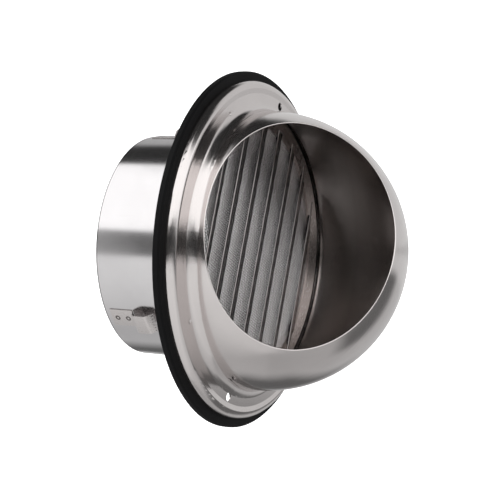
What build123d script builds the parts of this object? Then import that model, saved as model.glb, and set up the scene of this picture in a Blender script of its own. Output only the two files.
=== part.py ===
from build123d import *
from math import cos, radians, sin, sqrt
import os

# Round wall or bulkhead vent cowl in pressed stainless sheet.
#
# Frame, in millimetres: Z is the duct's axis and points out of the wall. The wall's face is the
# plane z = 0, which the back of the gasket lies on. The hood's mouth looks towards -Y, which hangs
# downwards in use. Polar angles are counted from the mouth's side, -Y, towards +X.

# ---- duct spigot -------------------------------------------------------------------------------
spigot_radius = 73.2          # outside, for a 150 mm duct
spigot_sheet = 0.8
spigot_reach = 67.2           # how far it stands behind the wall's face
flare_radius = 6.5            # bend from the tube into its front flange
pan_rise = 2.5                # front face of the flange's recessed floor, above the gasket
pan_setback = 0.5             # the floor ends this far inside the dome's outside
step_run = 3.6                # radial length of the step from the floor up to the seat
joggle_radius = 1.0           # bends of the step
spigot_flange_margin = 1.2    # the flange stops this far inside the seat's outer edge

# ---- gasket ------------------------------------------------------------------------------------
gasket_margin = 5.9           # it shows this much outside the flange
gasket_overlap = 7.4          # the flange's edge lies this far outside its bore
gasket_thickness = 4.2
gasket_bevel = 1.1

# ---- hood --------------------------------------------------------------------------------------
hood_sheet = 0.8
hood_margin = 17.2            # outside of the dome, beyond the spigot
dome_rise = 1.4               # centre of the dome, above the neck
neck_straight = 0.4
neck_fillet = 6.0
seat_rise = 5.8               # front face of the flat that carries the screws, above the gasket
seat_width = 5.4              # that flat, from the neck's fillet to the rolled rim
seat_bend = 3.0
rim_width = 8.2
rim_height = 6.4              # from the gasket to the corner that is rolled over
rim_roll = 4.6

# ---- hood's mouth ------------------------------------------------------------------------------
lip_rise = 0.7                # lower lip, above the dome's centre
tip_setback = 7.3             # the tip stops this far short of the axis, on the mouth's side
mouth_hollow = 11.6           # how far the edge bows in from the straight line lip to tip
mouth_edge_round = 0.3        # the cut edge is deburred

# ---- fixings -----------------------------------------------------------------------------------
screw_angles = (87.4, 272.6)
screw_edge_distance = 11.5    # from the flange's edge
screw_hole_radius = 2.8
screw_clearance = 2.9         # the spigot's flange stands back this far round a screw hole
weld_edge_distance = 13.6     # from the flange's edge
weld_angles = (43, 135, 225, 315)
weld_mark_radius = 2.2        # ball-ended electrode
weld_mark_depth = 0.45

# ---- insect screen and louvre ------------------------------------------------------------------
screen_margin = 1.6           # inside the ring's floor radius
screen_thickness = 0.4
ring_sheet = 0.8
ring_gap = 0.6                # between the ring's rim and the dome's inside
ring_wall_run = 4.4           # radial length of the ring's sloping wall
ring_floor_width = 3.8
ring_rise = 4.0               # height of the ring's sloping wall
ring_bend = 1.0

blade_count = 7
blade_row_margin = 5.15       # the row of pitches is this much shorter than the ring's bore
blade_shift = 1.7             # the middle blade's middle lies this far above the axis
blade_sheet = 0.6
blade_width = 15.5
first_blade_width = 10.5      # the lowest blade is narrower
blade_slope = 19.5            # degrees from the wall's plane
blade_end_gap = 3.1           # between a blade's end and the ring's sloping wall
blade_seat = 0.25             # the back edge's middle lies this far above the feet's underside
edge_bead_radius = 0.45       # the blade's front edge is rolled to a small bead
foot_width = 6.0
foot_length = 7.2
foot_gap = 0.4

# ---- spring clips ------------------------------------------------------------------------------
clip_count = 3
clip_first_angle = 55.5
clip_arc = 10.2               # width, in degrees round the spigot
tab_sheet = 0.6
tab_length = 16.5
tab_margin = 4.1              # between the tab and the spigot's rear edge
tab_weld_spacing = 7.8
tab_weld_outer_radius = 1.6
tab_weld_inner_radius = 1.0
tab_weld_depth = 0.15
leaf_sheet = 0.5
leaf_gap = 0.8                # between a tab and the root of its leaf
leaf_lift = 0.35              # between the spigot and the root of its leaf
leaf_crown = 6.2              # the leaf's crown stands this far off the spigot
leaf_rise_run = 2.6
leaf_length = 16.0
leaf_fall_run = 4.6
leaf_tip_lift = 1.9           # room under the toothed end
leaf_bend = 2.0
tooth_count = 6
tooth_width = 0.9
tooth_depth = 1.3

# ---- sizes worked out from those ---------------------------------------------------------------
hood_radius = spigot_radius + hood_margin
seat_height = gasket_thickness + seat_rise
neck_height = seat_height + neck_fillet + neck_straight
dome_height = neck_height + dome_rise
neck_radius = sqrt(hood_radius**2 - dome_rise**2)
corner_radius = neck_radius - (neck_height - seat_height) * dome_rise / neck_radius
seat_radius = hood_radius + neck_fillet + seat_width
flange_radius = seat_radius + rim_width
screw_circle_radius = flange_radius - screw_edge_distance
screw_relief_radius = screw_hole_radius + screw_clearance
weld_circle_radius = flange_radius - weld_edge_distance

gasket_radius = flange_radius + gasket_margin
gasket_inner_radius = flange_radius - gasket_overlap

pan_height = gasket_thickness + pan_rise
pan_radius = hood_radius - pan_setback
pan_underside = pan_height - spigot_sheet
step_rise = seat_height - hood_sheet - pan_height
seat_underside = pan_underside + step_rise
spigot_flange_radius = seat_radius - spigot_flange_margin

ring_rim_radius = hood_radius - hood_sheet - ring_gap
ring_floor_radius = ring_rim_radius - ring_wall_run
ring_inner_radius = ring_floor_radius - ring_floor_width
screen_radius = ring_floor_radius - screen_margin
screen_front = pan_height + screen_thickness

blade_pitch = (2 * ring_inner_radius - blade_row_margin) / blade_count
blade_end_radius = ring_floor_radius - blade_end_gap
foot_outer_radius = ring_floor_radius - foot_gap
foot_inner_radius = foot_outer_radius - foot_length
foot_bottom = screen_front + ring_sheet
blade_back_height = foot_bottom + blade_seat

tab_end = tab_margin + tab_length - spigot_reach


def outward(angle):
    """Unit direction square to the axis, at a polar angle counted from the mouth's side."""
    return Vector(sin(radians(angle)), -cos(radians(angle)), 0)


def section_plane(angle):
    """Plane through the axis: its x is the radius at that angle, its y the height."""
    return Plane(origin=(0, 0, 0), x_dir=outward(angle), z_dir=outward(angle).cross(Vector(0, 0, 1)))


def polar_point(radius, angle, height):
    return outward(angle) * radius + Vector(0, 0, height)


def finish(builder, name):
    builder.part.label = name
    export_step(builder.part, f"parts/{name}.step")


os.makedirs("parts", exist_ok=True)

# ---- hood: one pressed sheet, dome, neck and rolled flange -------------------------------------
dome_top = dome_height + hood_radius
dome_middle = hood_radius * sqrt(0.5)

lip = Vector(-sqrt(hood_radius**2 - lip_rise**2), dome_height + lip_rise)
tip = Vector(-tip_setback, dome_height + sqrt(hood_radius**2 - tip_setback**2))
chord = (tip - lip).normalized()
mouth_middle = (lip + tip) * 0.5 + Vector(chord.Y, -chord.X) * mouth_hollow
clear_of_hood = gasket_radius + hood_radius

with BuildPart() as hood:
    with BuildSketch(Plane.XZ):
        with BuildLine():
            FilletPolyline(
                (flange_radius, gasket_thickness),
                (flange_radius, gasket_thickness + rim_height),
                (seat_radius, seat_height),
                (corner_radius, seat_height),
                (neck_radius, neck_height),
                radius=[rim_roll, seat_bend, neck_fillet],
            )
            ThreePointArc(
                (neck_radius, neck_height),
                (dome_middle, dome_height + dome_middle),
                (0, dome_top),
            )
            offset(amount=hood_sheet, side=Side.LEFT, closed=True)
        make_face()
    revolve(axis=Axis.Z)
    with BuildSketch(Plane.YZ):
        with BuildLine():
            ThreePointArc(lip, mouth_middle, tip)
            Polyline(
                tip,
                (tip.X, clear_of_hood),
                (-clear_of_hood, clear_of_hood),
                (-clear_of_hood, lip.Y),
                lip,
            )
        make_face()
    extrude(amount=clear_of_hood, both=True, mode=Mode.SUBTRACT)
    mouth_edges = hood.edges().filter_by(GeomType.BSPLINE).sort_by(SortBy.LENGTH)[-2:]
    fillet(mouth_edges, mouth_edge_round)
    with Locations([polar_point(screw_circle_radius, angle, seat_height) for angle in screw_angles]):
        Cylinder(screw_hole_radius, 4 * hood_sheet, mode=Mode.SUBTRACT)
    mark_height = seat_height + weld_mark_radius - weld_mark_depth
    with Locations([polar_point(weld_circle_radius, angle, mark_height) for angle in weld_angles]):
        Sphere(weld_mark_radius, mode=Mode.SUBTRACT)
finish(hood, "hood")

# ---- gasket between the hood's rim and the wall ------------------------------------------------
with BuildPart() as gasket:
    with BuildSketch(Plane.XZ):
        with BuildLine():
            Polyline(
                (gasket_inner_radius, 0),
                (gasket_radius, 0),
                (gasket_radius, gasket_thickness - gasket_bevel),
                (gasket_radius - gasket_bevel, gasket_thickness),
                (gasket_inner_radius, gasket_thickness),
                close=True,
            )
        make_face()
    revolve(axis=Axis.Z)
finish(gasket, "wall_gasket")

# ---- spigot: rolled tube, flared into a recessed flange welded behind the hood -----------------
with BuildPart() as spigot:
    with BuildSketch(Plane.XZ):
        with BuildLine():
            FilletPolyline(
                (spigot_radius, -spigot_reach),
                (spigot_radius, pan_underside),
                (pan_radius, pan_underside),
                (pan_radius + step_run, seat_underside),
                (spigot_flange_radius, seat_underside),
                radius=[flare_radius, joggle_radius, joggle_radius],
            )
            offset(amount=spigot_sheet, side=Side.LEFT, closed=True)
        make_face()
    revolve(axis=Axis.Z)
    with Locations([polar_point(screw_circle_radius, angle, seat_underside) for angle in screw_angles]):
        Cylinder(screw_relief_radius, 4 * step_rise, mode=Mode.SUBTRACT)
finish(spigot, "duct_spigot")

# ---- insect screen, clamped between the spigot's flange and the louvre ring --------------------
with BuildPart() as screen:
    with BuildSketch(Plane.XY.offset(pan_height)):
        Circle(screen_radius)
    extrude(amount=screen_thickness)
finish(screen, "insect_screen")

# ---- louvre ring -------------------------------------------------------------------------------
with BuildPart() as ring:
    with BuildSketch(Plane.XZ):
        with BuildLine():
            FilletPolyline(
                (ring_inner_radius, screen_front),
                (ring_floor_radius, screen_front),
                (ring_rim_radius, screen_front + ring_rise),
                radius=ring_bend,
            )
            offset(amount=ring_sheet, side=Side.LEFT, closed=True)
        make_face()
    revolve(axis=Axis.Z)
finish(ring, "louvre_ring")


# ---- louvre blades -----------------------------------------------------------------------------
def louvre_blade(width, back_edge):
    """Sloping strip with a beaded front edge, and a foot at each end that lies on the ring's floor."""
    run = width * cos(radians(blade_slope))
    rise = width * sin(radians(blade_slope))
    front_edge = Location((back_edge - run, blade_back_height + rise, 0), (0, 0, -blade_slope))
    with BuildPart() as blade:
        with BuildSketch(Plane.YZ):
            with Locations(front_edge):
                Rectangle(width, blade_sheet, align=(Align.MIN, Align.CENTER))
                Circle(edge_bead_radius)
        extrude(amount=blade_end_radius, both=True)
        with BuildSketch(Plane.XY):
            Circle(blade_end_radius)
        extrude(amount=2 * seat_height, mode=Mode.INTERSECT)
        with BuildSketch(Plane.XY.offset(foot_bottom)):
            Circle(foot_outer_radius)
            Circle(foot_inner_radius, mode=Mode.SUBTRACT)
            with Locations((0, back_edge - foot_width / 2)):
                Rectangle(2 * foot_outer_radius, foot_width, mode=Mode.INTERSECT)
        extrude(amount=blade_sheet)
    return blade


middle_back_edge = blade_shift + blade_width * cos(radians(blade_slope)) / 2
for number in range(1, blade_count + 1):
    from_middle = number - (blade_count + 1) / 2
    width = first_blade_width if number == 1 else blade_width
    finish(louvre_blade(width, middle_back_edge + from_middle * blade_pitch), f"louvre_blade_{number}")


# ---- spring clips: a welded tab, and a bowed leaf that grips the duct --------------------------
def clip_tab(angle):
    """Flat tab wrapped on the spigot, with two ring-shaped spot welds."""
    with BuildPart() as tab:
        with BuildSketch(section_plane(angle - clip_arc / 2)):
            with Locations((spigot_radius, tab_end)):
                Rectangle(tab_sheet, tab_length, align=(Align.MIN, Align.MAX))
        revolve(axis=Axis.Z, revolution_arc=clip_arc)
        face_radius = spigot_radius + tab_sheet
        face_middle = polar_point(face_radius - tab_weld_depth, angle, tab_end - tab_length / 2)
        with BuildSketch(Plane(origin=face_middle, x_dir=(0, 0, 1), z_dir=outward(angle))):
            with GridLocations(tab_weld_spacing, 0, 2, 1):
                Circle(tab_weld_outer_radius)
                Circle(tab_weld_inner_radius, mode=Mode.SUBTRACT)
        extrude(amount=tab_sheet, mode=Mode.SUBTRACT)
    return tab


def clip_leaf(angle):
    """Bowed leaf: up from the tab, along its crown and down to a toothed end."""
    root = spigot_radius + leaf_lift
    crown = spigot_radius + leaf_crown
    leaf_start = tab_end + leaf_gap
    leaf_end = leaf_start + leaf_length
    with BuildPart() as leaf:
        with BuildSketch(section_plane(angle - clip_arc / 2)):
            with BuildLine():
                FilletPolyline(
                    (root, leaf_start),
                    (crown - leaf_sheet, leaf_start + leaf_rise_run),
                    (crown - leaf_sheet, leaf_end - leaf_fall_run),
                    (spigot_radius + leaf_tip_lift, leaf_end),
                    radius=leaf_bend,
                )
                offset(amount=leaf_sheet, side=Side.RIGHT, closed=True)
            make_face()
        revolve(axis=Axis.Z, revolution_arc=clip_arc)
        for number in range(tooth_count):
            turn = clip_arc * ((number + 0.5) / tooth_count - 0.5)
            notch = polar_point(spigot_radius + leaf_tip_lift, angle + turn, leaf_end)
            with BuildSketch(Plane(origin=notch, x_dir=(0, 0, 1), z_dir=outward(angle + turn))):
                Rectangle(2 * tooth_depth, tooth_width)
            extrude(amount=leaf_crown, both=True, mode=Mode.SUBTRACT)
    return leaf


for number in range(1, clip_count + 1):
    clip_angle = clip_first_angle + (number - 1) * 360 / clip_count
    finish(clip_tab(clip_angle), f"clip_tab_{number}")
    finish(clip_leaf(clip_angle), f"clip_leaf_{number}")
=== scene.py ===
from math import cos, pi, radians, sin

import bmesh
import bpy
from mathutils import Matrix, Vector


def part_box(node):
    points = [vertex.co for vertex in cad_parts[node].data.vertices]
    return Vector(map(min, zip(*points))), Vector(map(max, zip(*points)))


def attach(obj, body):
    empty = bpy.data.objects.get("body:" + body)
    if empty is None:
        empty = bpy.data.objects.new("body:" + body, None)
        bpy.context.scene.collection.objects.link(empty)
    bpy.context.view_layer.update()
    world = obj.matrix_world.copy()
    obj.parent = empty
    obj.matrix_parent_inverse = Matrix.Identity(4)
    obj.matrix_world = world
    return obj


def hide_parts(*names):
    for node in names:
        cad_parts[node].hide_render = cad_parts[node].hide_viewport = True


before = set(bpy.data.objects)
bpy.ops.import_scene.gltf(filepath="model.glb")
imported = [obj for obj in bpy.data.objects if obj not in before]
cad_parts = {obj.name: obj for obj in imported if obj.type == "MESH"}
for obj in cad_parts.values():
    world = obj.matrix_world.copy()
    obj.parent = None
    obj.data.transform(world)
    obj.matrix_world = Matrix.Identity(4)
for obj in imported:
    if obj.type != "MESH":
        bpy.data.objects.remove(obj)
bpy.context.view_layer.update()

# Round stainless vent cowl: finished surfaces, woven insect screen, rubber gasket and studio.
# Row frame: Z is the duct's axis, out of the wall; the hood's mouth looks towards -Y.
# Polar angles are counted from the mouth's side, -Y, towards +X.

MM = 0.001

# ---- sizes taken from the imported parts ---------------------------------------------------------
hood_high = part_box("hood")[1]
spigot_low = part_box("duct_spigot")[0]
screen_low, screen_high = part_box("insect_screen")
tab_low, tab_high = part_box("clip_tab_1")

gasket_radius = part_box("wall_gasket")[1].x
screen_radius = screen_high.x
screen_middle = (screen_low.z + screen_high.z) / 2
tab_middle = (tab_low.z + tab_high.z) / 2

# ---- sizes that the boxes can't give -----------------------------------------------------------
dome_radius = 90.4 * MM
hood_sheet = 0.8 * MM
dome_height = hood_high.z - dome_radius
spigot_radius = 73.2 * MM
spigot_sheet = 0.8 * MM
sheared_edge = 0.5 * MM                 # band at the spigot's sheared rear edge that is painted dark
painted_shadow_height = 3.4 * MM                  # painted shadow on the blades, this far above the screen
painted_light_height = 26 * MM                  # painted light: the hood's inside is painted brighter below this, above the neck
clip_first_angle = 55.5
tab_weld_spacing = 7.8 * MM
tab_weld_radius = 1.3 * MM

wire_pitch = 1.62 * MM
wire_radii = (0.44 * MM, 0.27 * MM)     # along the blades, and across them
wire_bends = (0.08 * MM, -0.12 * MM)    # how far they rise and dip, in opposite steps
wire_lifts = (-0.12 * MM, 0.38 * MM)    # from the screen's middle
weave_turn = radians(-6.5)              # the wires lie this far off the blades' direction

COLLECTION = bpy.context.scene.collection


# ---- node trees --------------------------------------------------------------------------------
class Nodes:
    """A shader tree, with short calls for the nodes that the finishes and the studio share."""

    def __init__(self, tree):
        self.tree = tree

    def link(self, a, b):
        self.tree.links.new(a, b)

    def node(self, kind, **settings):
        made = self.tree.nodes.new("ShaderNode" + kind)
        for key, value in settings.items():
            setattr(made, key, value)
        return made

    def give(self, socket, value):
        if isinstance(value, (int, float, tuple)):
            socket.default_value = value
        else:
            self.link(value, socket)

    def maths(self, operation, *values):
        made = self.node("Math", operation=operation)
        for socket, value in zip(made.inputs, values):
            self.give(socket, value)
        return made.outputs[0]

    def dot(self, vector, direction):
        made = self.node("VectorMath", operation="DOT_PRODUCT")
        self.link(vector, made.inputs[0])
        made.inputs[1].default_value = direction
        return made.outputs["Value"]

    def noise(self, vector, scale, detail=3.0, roughness=0.55):
        made = self.node("TexNoise")
        self.give(made.inputs["Vector"], vector)
        made.inputs["Scale"].default_value = scale
        made.inputs["Detail"].default_value = detail
        made.inputs["Roughness"].default_value = roughness
        return made.outputs["Fac"]

    def ramp(self, value, low, high, to_low=0.0, to_high=1.0):
        made = self.node("MapRange")
        for socket, given in zip(made.inputs, (value, low, high, to_low, to_high)):
            self.give(socket, given)
        return made.outputs["Result"]

    def mix(self, factor, a, b):
        """Plain number a where the factor is 0, b where it is 1."""
        return self.maths("ADD", self.maths("MULTIPLY", self.maths("SUBTRACT", 1.0, factor), a),
                          self.maths("MULTIPLY", factor, b))

    def blend(self, factor, a, b):
        made = self.node("Mix", data_type="RGBA")
        self.give(made.inputs["Factor"], factor)
        self.give(made.inputs[6], a)
        self.give(made.inputs[7], b)
        return made.outputs[2]


class Finish(Nodes):
    """A material on object coordinates."""

    def __init__(self, name):
        self.material = bpy.data.materials.new(name)
        self.material.use_nodes = True
        super().__init__(self.material.node_tree)
        self.shader = self.tree.nodes["Principled BSDF"]
        self.place = self.node("TexCoord").outputs["Object"]
        split = self.node("SeparateXYZ")
        self.link(self.place, split.inputs[0])
        self.x, self.y, self.z = split.outputs
        self.radius = self.length(self.x, self.y)
        self.turn = self.maths("ARCTAN2", self.x, self.maths("MULTIPLY", self.y, -1.0))

    def set(self, **values):
        for name, value in values.items():
            self.give(self.shader.inputs[name.replace("_", " ")], value)

    def length(self, *parts):
        squares = [self.maths("MULTIPLY", part, part) for part in parts]
        total = squares[0]
        for square in squares[1:]:
            total = self.maths("ADD", total, square)
        return self.maths("SQRT", total)

    def joined(self, x, y, z):
        made = self.node("CombineXYZ")
        for socket, value in zip(made.inputs, (x, y, z)):
            self.give(socket, value)
        return made.outputs[0]

    def grain(self, around, radial, along, scale=1.0):
        """Fine lines: the given stretches are lines per metre round, out from and along the axis."""
        arc = self.maths("MULTIPLY", self.turn, 0.1 * around * scale)
        out = self.maths("MULTIPLY", self.radius, radial * scale)
        up = self.maths("MULTIPLY", self.z, along * scale)
        return self.noise(self.joined(arc, out, up), 1.0, 2.0)

    def bump(self, height, distance, strength=1.0):
        made = self.node("Bump")
        made.inputs["Distance"].default_value = distance
        made.inputs["Strength"].default_value = strength
        self.link(height, made.inputs["Height"])
        self.link(made.outputs["Normal"], self.shader.inputs["Normal"])


def rgb(tone, factor=1.0):
    return tuple(min(1.0, c * factor) for c in tone) + (1.0,)


# ---- finishes ----------------------------------------------------------------------------------
WARM_STEEL = (0.66, 0.625, 0.615)
COOL_STEEL = (0.66, 0.645, 0.65)
LIGHT_STEEL = (0.84, 0.80, 0.79)
EDGE_BLUR = 0.15 * MM       # half the step between a sheet's two sides


def steel(name, tone, roughness, grain, depth=0.3, smudge=0.05):
    """Stainless sheet: fine lines of its rolling or spinning, faint smudges and scratches."""
    f = Finish(name)
    lines = f.grain(*grain)
    smudges = f.noise(f.place, 38.0, 4.0)
    scratches = f.ramp(f.grain(*grain, scale=0.35), 0.62, 0.75)
    patches = f.maths("ADD", smudges, f.maths("MULTIPLY", scratches, 0.25))
    f.set(Metallic=1.0, Base_Color=f.blend(patches, rgb(tone, 1 + smudge), rgb(tone, 1 - smudge)))
    rough = f.maths("ADD", f.ramp(lines, 0.3, 0.7, -0.03, 0.04), f.ramp(patches, 0.3, 0.8, -0.02, 0.04))
    f.set(Roughness=f.maths("ADD", rough, roughness))
    f.bump(lines, 0.01 * MM, depth)
    return f


def hood_finish():
    """Satin outside; the inside of the dome and neck is duller and darker, with painted light near the
    neck.
    """
    f = steel("pressed stainless", WARM_STEEL, 0.15, (400, 9000, 2500), depth=0.07)
    above = f.maths("SUBTRACT", f.z, dome_height)
    from_centre = f.length(f.radius, above)
    middle = dome_radius - hood_sheet / 2
    inside_dome = f.ramp(from_centre, middle + EDGE_BLUR, middle - EDGE_BLUR)
    inside_neck = f.ramp(f.radius, middle + EDGE_BLUR, middle - EDGE_BLUR)
    high = f.ramp(f.z, dome_height - MM, dome_height)
    inside = f.mix(high, inside_neck, inside_dome)
    outside_tone = f.shader.inputs["Base Color"].links[0].from_socket
    outside_rough = f.shader.inputs["Roughness"].links[0].from_socket
    stains = f.noise(f.place, 30.0, 5.0)
    dull = f.blend(stains, (0.39, 0.35, 0.335, 1), (0.36, 0.325, 0.31, 1))
    # painted light: the inside near the neck is painted pale, standing in for light reflected in through
    # the mouth
    neck_painted_light = f.ramp(f.z, dome_height + painted_light_height, dome_height - 2 * MM)
    dull = f.blend(neck_painted_light, dull, (0.80, 0.75, 0.73, 1))
    f.set(Base_Color=f.blend(inside, outside_tone, dull))
    f.set(Roughness=f.mix(inside, outside_rough, f.ramp(stains, 0.2, 0.8, 0.27, 0.31)))
    return f.material


def tube_finish():
    """Bright outside; the bore is painted near-black as shade, and the sheared rear edge is painted
    dark.
    """
    f = steel("rolled stainless", COOL_STEEL, 0.15, (6000, 300, 260), depth=0.12, smudge=0.07)
    middle = spigot_radius - spigot_sheet / 2
    # painted shade: the bore is painted near-black
    bore = f.ramp(f.radius, middle + EDGE_BLUR, middle - EDGE_BLUR)
    rear = spigot_low.z + sheared_edge
    sheared = f.ramp(f.z, rear + 0.4 * MM, rear)
    bright = f.shader.inputs["Base Color"].links[0].from_socket
    shaded = f.blend(f.maths("MULTIPLY", sheared, 0.75), bright, (0.08, 0.08, 0.085, 1))
    f.set(Base_Color=f.blend(bore, shaded, (0.06, 0.058, 0.058, 1)))
    return f.material


def blade_finish():
    """Rolled strip, with a painted black shadow where it is near the screen."""
    f = steel("louvre strip", WARM_STEEL, 0.22, (300, 5000, 5000))
    painted_shadow_top = screen_high.z + painted_shadow_height
    # painted shadow: each blade's lowest part, next to the screen, is painted black
    painted_shadow = f.ramp(f.z, painted_shadow_top, painted_shadow_top - 0.5 * MM)
    plain = f.shader.inputs["Base Color"].links[0].from_socket
    tone = f.blend(painted_shadow, f.blend(0.65, plain, (0.2, 0.19, 0.185, 1)), (0.02, 0.018, 0.018, 1))
    f.set(Base_Color=tone)
    return f.material


def clip_finish():
    """Spring strip, with a dark ring round each of a tab's two spot welds."""
    f = steel("spring steel", WARM_STEEL, 0.24, (5000, 300, 300), smudge=0.06)
    third = 2 * pi / 3
    first = radians(clip_first_angle)
    past_clip = f.maths("ADD", f.turn, 2 * pi - first + third / 2)
    around = f.maths("SUBTRACT", f.maths("MODULO", past_clip, third), third / 2)
    across = f.maths("MULTIPLY", around, spigot_radius)
    below = f.maths("ABSOLUTE", f.maths("SUBTRACT", f.z, tab_middle))
    along = f.maths("SUBTRACT", below, tab_weld_spacing / 2)
    off_ring = f.maths("ABSOLUTE", f.maths("SUBTRACT", f.length(across, along), tab_weld_radius))
    burn = f.ramp(off_ring, 0.25 * MM, 0.7 * MM, 0.85, 0.0)
    plain = f.shader.inputs["Base Color"].links[0].from_socket
    f.set(Base_Color=f.blend(burn, plain, (0.05, 0.04, 0.035, 1)))
    return f.material


def wire_finish():
    f = Finish("bright wire")
    patches = f.noise(f.place, 60.0, 3.0)
    f.set(Metallic=1.0, Base_Color=f.blend(patches, (0.95, 0.93, 0.93, 1), (0.86, 0.84, 0.84, 1)))
    f.set(Roughness=f.ramp(patches, 0.3, 0.7, 0.16, 0.24))
    return f.material


def rubber_finish():
    f = Finish("black rubber")
    pores = f.noise(f.place, 2400.0, 3.0)
    patches = f.noise(f.place, 90.0)
    f.set(Base_Color=f.blend(patches, (0.0015, 0.0015, 0.0018, 1), (0.004, 0.004, 0.0045, 1)))
    f.set(Roughness=f.ramp(pores, 0.2, 0.8, 0.55, 0.75), Specular_IOR_Level=0.12)
    f.bump(pores, 0.08 * MM, 0.5)
    return f.material


hood_steel = hood_finish()
tube_steel = tube_finish()
ring_steel = steel("spun ring", LIGHT_STEEL, 0.24, (300, 5000, 5000)).material
blade_steel = blade_finish()
spring_steel = clip_finish()
bright_wire = wire_finish()
black_rubber = rubber_finish()

finish_of = {"hood": hood_steel, "duct_spigot": tube_steel, "wall_gasket": black_rubber,
             "insect_screen": bright_wire, "louvre_ring": ring_steel}
for name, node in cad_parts.items():
    given = finish_of.get(name, spring_steel if name.startswith("clip") else blade_steel)
    node.data.materials.clear()
    node.data.materials.append(given)


# ---- woven insect screen -----------------------------------------------------------------------
class Plant:
    """A Geometry Nodes tree with named inputs."""

    def __init__(self, name, inputs):
        self.tree = bpy.data.node_groups.new(name, "GeometryNodeTree")
        for label, kind in inputs.items():
            self.tree.interface.new_socket(label, in_out="INPUT", socket_type="NodeSocket" + kind)
        self.tree.interface.new_socket("Body", in_out="OUTPUT", socket_type="NodeSocketGeometry")
        self.given = self.tree.nodes.new("NodeGroupInput").outputs
        self.result = self.tree.nodes.new("NodeGroupOutput").inputs["Body"]

    def node(self, kind, settings=None, **inputs):
        made = self.tree.nodes.new(kind)
        for key, value in (settings or {}).items():
            setattr(made, key, value)
        for label, value in inputs.items():
            self.give(made.inputs[label.replace("_", " ")], value)
        return made

    def give(self, socket, value):
        if isinstance(value, (int, float, tuple)):
            socket.default_value = value
        else:
            self.tree.links.new(value, socket)

    def maths(self, operation, *values):
        made = self.node("ShaderNodeMath", {"operation": operation})
        for socket, value in zip(made.inputs, values):
            self.give(socket, value)
        return made.outputs[0]

    def joined(self, x=0.0, y=0.0, z=0.0):
        return self.node("ShaderNodeCombineXYZ", X=x, Y=y, Z=z).outputs[0]


def screen_wires_tree():
    """Parallel wires across a round screen, each a little wavy where others cross it."""
    g = Plant("screen wires", {"Radius": "Float", "Pitch": "Float", "Wire": "Float", "Bend": "Float",
                               "Turn": "Float", "Height": "Float", "Finish": "Material"})
    radius, pitch, wire = (g.given[name] for name in ("Radius", "Pitch", "Wire"))
    rows = g.maths("FLOOR", g.maths("DIVIDE", radius, pitch))
    count = g.maths("ADD", g.maths("MULTIPLY", rows, 2.0), 1.0)
    half = g.maths("MULTIPLY", rows, pitch)
    low = g.maths("MULTIPLY", half, -1.0)
    starts = g.node("GeometryNodeMeshLine", {"mode": "OFFSET"}, Count=count,
                    Start_Location=g.joined(y=low), Offset=g.joined(y=pitch))
    straight = g.node("GeometryNodeCurvePrimitiveLine", Start=g.joined(x=low), End=g.joined(x=half))
    bends = g.maths("ADD", g.maths("MULTIPLY", rows, 6.0), 1.0)
    line = g.node("GeometryNodeResampleCurve", Curve=straight.outputs[0], Count=bends)
    placed = g.node("GeometryNodeInstanceOnPoints", Points=starts.outputs[0], Instance=line.outputs[0])
    wires = g.node("GeometryNodeRealizeInstances", Geometry=placed.outputs[0])
    place = g.node("GeometryNodeInputPosition").outputs[0]
    split = g.node("ShaderNodeSeparateXYZ", Vector=place)
    steps = g.maths("DIVIDE", g.maths("ADD", split.outputs[0], split.outputs[1]), pitch)
    rise = g.maths("MULTIPLY", g.maths("COSINE", g.maths("MULTIPLY", steps, pi)), g.given["Bend"])
    lift = g.joined(z=rise)
    woven = g.node("GeometryNodeSetPosition", Geometry=wires.outputs[0], Offset=lift)
    reach = g.node("ShaderNodeVectorMath", {"operation": "LENGTH"}, Vector=place).outputs["Value"]
    outside = g.node("FunctionNodeCompare", {"data_type": "FLOAT", "operation": "GREATER_THAN"})
    g.give(outside.inputs[0], reach)
    g.give(outside.inputs[1], radius)
    trimmed = g.node("GeometryNodeDeleteGeometry", {"domain": "POINT"}, Geometry=woven.outputs[0],
                     Selection=outside.outputs[0])
    section = g.node("GeometryNodeCurvePrimitiveCircle", Resolution=4, Radius=wire)
    solid = g.node("GeometryNodeCurveToMesh", Curve=trimmed.outputs[0], Profile_Curve=section.outputs[0],
                   Fill_Caps=True)
    smooth = g.node("GeometryNodeSetShadeSmooth", Geometry=solid.outputs[0])
    turned = g.node("GeometryNodeTransform", Geometry=smooth.outputs[0],
                    Rotation=g.joined(z=g.given["Turn"]), Translation=g.joined(z=g.given["Height"]))
    real = g.node("GeometryNodeRealizeInstances", Geometry=turned.outputs[0])
    finish = g.node("GeometryNodeSetMaterial", Geometry=real.outputs[0], Material=g.given["Finish"])
    g.tree.links.new(finish.outputs[0], g.result)
    return g.tree


def new_object(name, verts=(), edges=(), faces=()):
    mesh = bpy.data.meshes.new(name)
    mesh.from_pydata([tuple(v) for v in verts], [tuple(e) for e in edges], [tuple(f) for f in faces])
    obj = bpy.data.objects.new(name, mesh)
    COLLECTION.objects.link(obj)
    return obj


def grown(name, tree, **inputs):
    """A plain mesh made by a tree, with its named inputs set by their identifiers."""
    obj = new_object(name)
    modifier = obj.modifiers.new(tree.name, "NODES")
    modifier.node_group = tree
    for item in tree.interface.items_tree:
        if item.in_out == "INPUT":
            modifier[item.identifier] = inputs[item.name]
    graph = bpy.context.evaluated_depsgraph_get()
    mesh = bpy.data.meshes.new_from_object(obj.evaluated_get(graph), depsgraph=graph)
    obj.modifiers.clear()
    obj.data = mesh
    mesh.name = name
    return obj


screen_wires = screen_wires_tree()
for number, (wire, bend, lift) in enumerate(zip(wire_radii, wire_bends, wire_lifts)):
    wires = grown(f"screen_wires_{number + 1}", screen_wires, Radius=screen_radius, Pitch=wire_pitch,
                  Wire=wire, Bend=bend, Turn=weave_turn + number * pi / 2, Height=screen_middle + lift,
                  Finish=bright_wire)
    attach(wires, "cowl")
    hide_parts("insect_screen")


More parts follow.
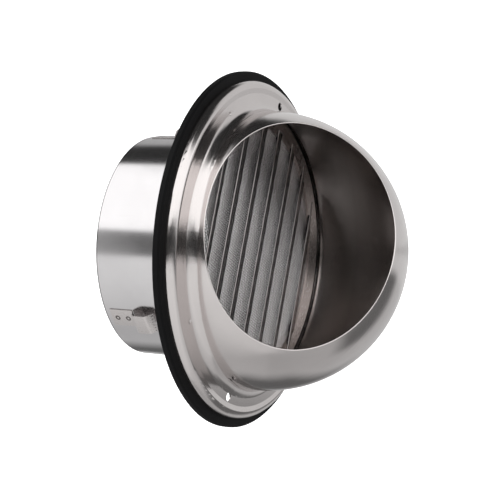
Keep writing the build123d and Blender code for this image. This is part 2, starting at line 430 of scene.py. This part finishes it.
# ---- camera, floor and studio ------------------------------------------------------------------
VIEW_TILT = radians(62.57)      # from the duct's axis
VIEW_TURN = radians(15.44)      # from the mouth's direction towards +X
VIEW_ROLL = radians(2.92)
VIEW_DISTANCE = 8 * gasket_radius
LENS_MM = 101.96
outward = Vector((sin(VIEW_TURN), -cos(VIEW_TURN), 0))
axis = Vector((0, 0, 1))
toward_camera = outward * sin(VIEW_TILT) + axis * cos(VIEW_TILT)
across = (axis - toward_camera * toward_camera.z).normalized()
upward = toward_camera.cross(across)
view_right = across * cos(VIEW_ROLL) + upward * sin(VIEW_ROLL)
view_up = upward * cos(VIEW_ROLL) - across * sin(VIEW_ROLL)


def camera():
    data = bpy.data.cameras.new("camera")
    data.lens = LENS_MM
    data.shift_x = 0.0117
    data.shift_y = -0.0008
    data.clip_start = 0.01
    obj = bpy.data.objects.new("camera", data)
    COLLECTION.objects.link(obj)
    turn = Matrix((view_right, view_up, toward_camera)).transposed().to_4x4()
    obj.matrix_world = Matrix.Translation(toward_camera * VIEW_DISTANCE) @ turn
    bpy.context.scene.camera = obj


def staged(obj, name, tone, glow):
    """A backdrop that lights the rubber and fills the picture, but isn't mirrored in the steel."""
    f = Finish(name)
    f.set(Base_Color=(tone, tone, tone, 1), Roughness=0.9)
    f.set(Emission_Color=(1, 1, 1, 1), Emission_Strength=glow)
    obj.data.materials.append(f.material)
    obj.visible_glossy = False
    obj.visible_shadow = False


def floor():
    size, level = 12.0, -0.5
    corners = [(-size, -size, level), (size, -size, level), (size, size, level), (-size, size, level)]
    staged(new_object("floor", corners, faces=[(0, 1, 2, 3)]), "pale floor", 0.9, 1.0)


def backdrop():
    obj = new_object("backdrop")
    bm = bmesh.new()
    bmesh.ops.create_icosphere(bm, subdivisions=4, radius=15.0)
    bm.to_mesh(obj.data)
    bm.free()
    staged(obj, "pale backdrop", 0.9, 1.0)
    obj.visible_diffuse = False


def studio():
    """Lights of the world: a wide softbox above, a pale table below and a dark gap between them.

    Directions are seen from the object, in degrees: rise is up from the camera's level, and turn
    is round from the camera's direction, to its right.
    """
    world = bpy.data.worlds.new("studio")
    bpy.context.scene.world = world
    world.use_nodes = True
    w = Nodes(world.node_tree)
    away = w.node("TexCoord").outputs["Generated"]
    degrees = 180 / pi
    rise = w.maths("MULTIPLY", w.maths("ARCSINE", w.dot(away, view_up)), degrees)
    bearing = w.maths("ARCTAN2", w.dot(away, view_right), w.dot(away, toward_camera))
    turn = w.maths("MULTIPLY", bearing, degrees)

    def above(value, edge, soft=1.5):
        return w.ramp(value, edge - soft, edge + soft)

    def below(value, edge, soft=1.5):
        return w.ramp(value, edge + soft, edge - soft)

    def both(*masks):
        result = masks[0]
        for mask in masks[1:]:
            result = w.maths("MULTIPLY", result, mask)
        return result

    softbox, rear, dim_rear, gap, dark, flagged = 1.5, 0.72, 0.5, 0.02, 0.03, 0.15
    box_foot = w.ramp(turn, 10, 90, 14, 0)
    box_head = w.ramp(turn, 20, 85, 65, 22)
    above_foot = above(w.maths("SUBTRACT", rise, box_foot), 0)
    under_head = below(w.maths("SUBTRACT", rise, box_head), 0, 4)
    box = both(above_foot, under_head, above(turn, -124, 3), below(turn, 97, 3))

    left_side = w.ramp(turn, -130, -60, 0.66, 1.0)
    right_side = w.ramp(turn, 50, 110, 1.0, 0.6)
    table = both(w.ramp(rise, -90, -12, 0.72, 0.95), left_side, right_side)
    behind = above(w.maths("ABSOLUTE", turn), 162, 6)
    side_flag = both(above(turn, 108, 4), below(turn, 133, 4), below(rise, -4), above(rise, -48, 5))
    rear_flag = both(behind, below(rise, -20, 6), above(rise, -54, 8))
    table = w.mix(side_flag, w.mix(rear_flag, table, 0.13), flagged)

    between_sides = both(above(turn, -60.6, 0.8), below(turn, 100, 3))
    right_rear = both(above_foot, above(turn, 100, 4), below(rise, 45, 4))
    left_rear = both(below(turn, -150, 6), below(rise, 43, 3))
    level = w.mix(above_foot, w.mix(between_sides, rear, gap), dark)
    level = w.mix(right_rear, level, rear)
    level = w.mix(left_rear, level, dim_rear)
    level = w.mix(box, level, softbox)
    level = w.mix(below(rise, -8), level, table)
    light = w.tree.nodes["Background"]
    light.inputs["Color"].default_value = (1, 1, 1, 1)
    w.give(light.inputs["Strength"], level)


camera()
floor()
backdrop()
studio()
bpy.context.scene.view_settings.view_transform = "Standard"
